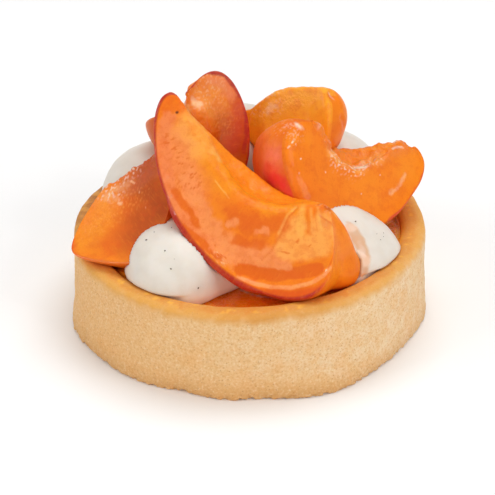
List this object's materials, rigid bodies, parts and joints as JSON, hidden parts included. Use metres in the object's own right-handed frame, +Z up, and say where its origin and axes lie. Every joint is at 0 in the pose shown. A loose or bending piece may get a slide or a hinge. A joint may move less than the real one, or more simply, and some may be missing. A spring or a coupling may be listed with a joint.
{
  "type": "apricot tart",
  "caption": "Single-portion round tart: a straight-sided shortcrust shell with a glazed filling, piped cream dollops and glazed apricot wedges heaped on top.",
  "frame": {"origin": "centre of the shell's flat underside, on the surface it rests on", "axes": "+Z up out of the shell, +X to the right and -Y towards the viewer as in the picture"},
  "size_m": [0.0764, 0.0754, 0.0536],
  "materials": {
    "pastry": "dry baked shortcrust, fine crumb, golden rim",
    "filling": "wet dark orange glaze",
    "cream": "smooth soft whipped cream with small dark flecks",
    "apricot": "orange cooked fruit under a wet clear glaze"
  },
  "bodies": {
    "root": {"tart_shell": "pastry", "filling": "filling", "apricot_front": "apricot", "apricot_right": "apricot", "apricot_top": "apricot", "apricot_left": "apricot", "apricot_back_right": "apricot", "apricot_back_left": "apricot", "cream_front_left": "cream", "cream_right": "cream", "cream_back_left": "cream", "cream_back_right": "cream", "cream_back": "cream", "cream_middle": "cream"}
  },
  "joints": []
}
